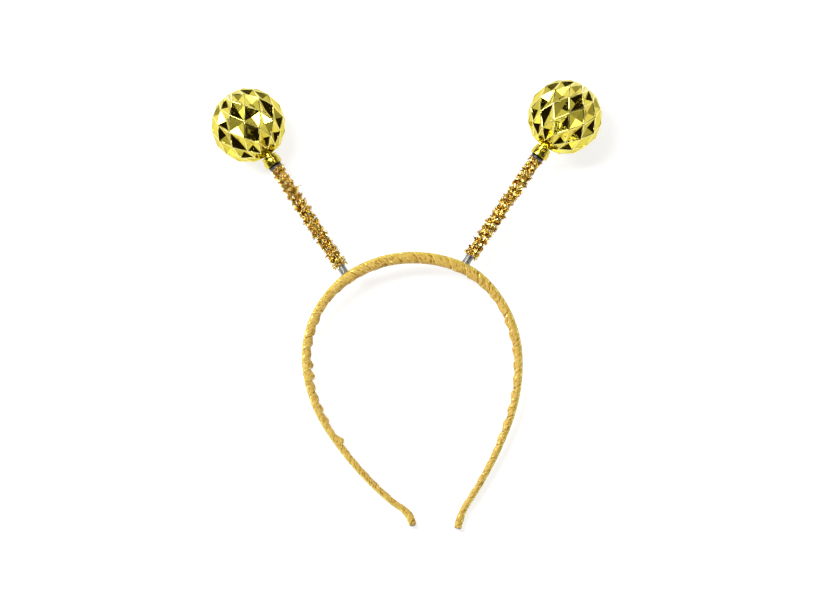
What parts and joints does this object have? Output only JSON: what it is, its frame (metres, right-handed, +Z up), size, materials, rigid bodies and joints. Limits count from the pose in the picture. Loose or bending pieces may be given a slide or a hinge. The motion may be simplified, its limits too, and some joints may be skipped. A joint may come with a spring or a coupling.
{
  "type": "head bopper",
  "caption": "Gold head bopper: an open, ribbon-wound headband whose coil springs, wound with foil garland, carry hollow faceted balls that bob above the head.",
  "frame": {"origin": "on the surface that the part lies on, under the middle of its bounding box", "axes": "+Z up; +Y from the headband's tips towards its crown and the balls; +X across the head, to the right as seen from above"},
  "size_m": [0.209, 0.2404, 0.0402],
  "materials": {
    "core_plastic": "satin",
    "glitter_ribbon": "glitter weave",
    "spring_steel": "drawn wire",
    "garland_foil": "metallised foil",
    "metallised_gold": "mirror metallised"
  },
  "bodies": {
    "root": {"band_core": "core_plastic", "ribbon_wrap": "glitter_ribbon", "spring_left": "spring_steel", "spring_right": "spring_steel", "tinsel_left": "garland_foil", "tinsel_right": "garland_foil", "collar_left": "metallised_gold", "collar_right": "metallised_gold", "ball_left": "metallised_gold", "ball_right": "metallised_gold"}
  },
  "joints": []
}
